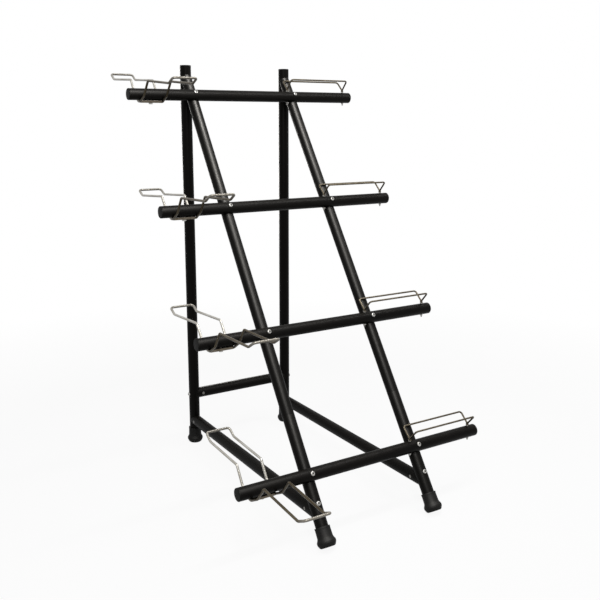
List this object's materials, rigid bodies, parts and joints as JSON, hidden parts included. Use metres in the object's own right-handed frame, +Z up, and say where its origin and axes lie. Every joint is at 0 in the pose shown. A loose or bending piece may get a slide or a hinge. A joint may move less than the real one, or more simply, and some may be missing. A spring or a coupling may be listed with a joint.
{
  "type": "bicycle display stand",
  "caption": "Stepped floor stand of black steel tube with wire cradles and wheel troughs on its bars, for showing children's bicycles.",
  "frame": {"origin": "on the floor, at the middle of the bounding box's bottom face", "axes": "+Z up, +X along the bars to the trough side, +Y back from the legs to the posts"},
  "size_m": [0.924, 1.3654, 1.45],
  "materials": {
    "black_powder_coat": "satin black powder coat",
    "black_plastic": "moulded satin black",
    "black_rubber": "matte black rubber",
    "bright_steel_wire": "bright plated steel wire",
    "zinc_fasteners": "bright zinc plating"
  },
  "bodies": {
    "root": {"bar_bolt_1_left": "zinc_fasteners", "bar_bolt_1_right": "zinc_fasteners", "bar_bolt_2_left": "zinc_fasteners", "bar_bolt_2_right": "zinc_fasteners", "bar_bolt_3_left": "zinc_fasteners", "bar_bolt_3_right": "zinc_fasteners", "bar_bolt_4_left": "zinc_fasteners", "bar_bolt_4_right": "zinc_fasteners", "bar_cap_1_left": "black_plastic", "bar_cap_1_right": "black_plastic", "bar_cap_2_left": "black_plastic", "bar_cap_2_right": "black_plastic", "bar_cap_3_left": "black_plastic", "bar_cap_3_right": "black_plastic", "bar_cap_4_left": "black_plastic", "bar_cap_4_right": "black_plastic", "base_rail_left": "black_powder_coat", "base_rail_right": "black_powder_coat", "cradle_1": "bright_steel_wire", "cradle_2": "bright_steel_wire", "cradle_3": "bright_steel_wire", "cradle_4": "bright_steel_wire", "cradle_bolt_1": "zinc_fasteners", "cradle_bolt_2": "zinc_fasteners", "cradle_bolt_3": "zinc_fasteners", "cradle_bolt_4": "zinc_fasteners", "crossbar": "black_powder_coat", "crossbar_bolt_left": "zinc_fasteners", "crossbar_bolt_right": "zinc_fasteners", "display_bar_1": "black_powder_coat", "display_bar_2": "black_powder_coat", "display_bar_3": "black_powder_coat", "display_bar_4": "black_powder_coat", "foot_front_left": "black_rubber", "foot_front_right": "black_rubber", "foot_rear_left": "black_rubber", "foot_rear_right": "black_rubber", "leg_lower_left": "black_powder_coat", "leg_lower_right": "black_powder_coat", "leg_splice_left": "black_powder_coat", "leg_splice_right": "black_powder_coat", "leg_top_bolt_left": "zinc_fasteners", "leg_top_bolt_right": "zinc_fasteners", "leg_upper_left": "black_powder_coat", "leg_upper_right": "black_powder_coat", "post_cap_left": "black_plastic", "post_cap_right": "black_plastic", "post_left": "black_powder_coat", "post_right": "black_powder_coat", "rail_front_bolt_left": "zinc_fasteners", "rail_front_bolt_right": "zinc_fasteners", "rail_rear_bolt_left": "zinc_fasteners", "rail_rear_bolt_right": "zinc_fasteners", "trough_1": "bright_steel_wire", "trough_2": "bright_steel_wire", "trough_3": "bright_steel_wire", "trough_4": "bright_steel_wire"}
  },
  "joints": []
}
